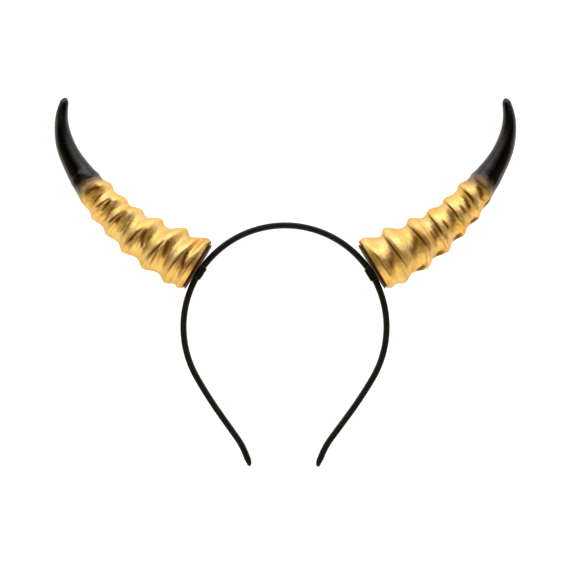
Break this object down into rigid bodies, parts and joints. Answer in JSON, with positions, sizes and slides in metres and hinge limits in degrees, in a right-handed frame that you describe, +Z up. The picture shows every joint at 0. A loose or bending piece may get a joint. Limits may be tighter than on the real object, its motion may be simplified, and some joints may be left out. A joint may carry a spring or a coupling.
{
  "type": "ram horns headband",
  "caption": "Fancy-dress headband with a thin black arch, open at its ends, and a pair of curved hollow ringed horns in gold with black tips.",
  "frame": {"origin": "centre of the bounding box at the table that the headband lies on", "axes": "+X across the head towards the right horn of the picture, +Y towards the horn tips, +Z up from the table"},
  "size_m": [0.2876, 0.228, 0.0404],
  "materials": {
    "band_black": "smooth black, satin to semi-gloss",
    "clip_black": "black, satin",
    "plate_tan": "thin disc painted with the horn's gold, dull",
    "horn_gold": "gold paint with fine brushed streaks, tip sprayed black and semi-gloss"
  },
  "bodies": {
    "root": {"headband": "band_black", "band_clip_left": "clip_black", "band_clip_right": "clip_black", "base_plate_left": "plate_tan", "base_plate_right": "plate_tan", "horn_left": "horn_gold", "horn_right": "horn_gold"}
  },
  "joints": []
}
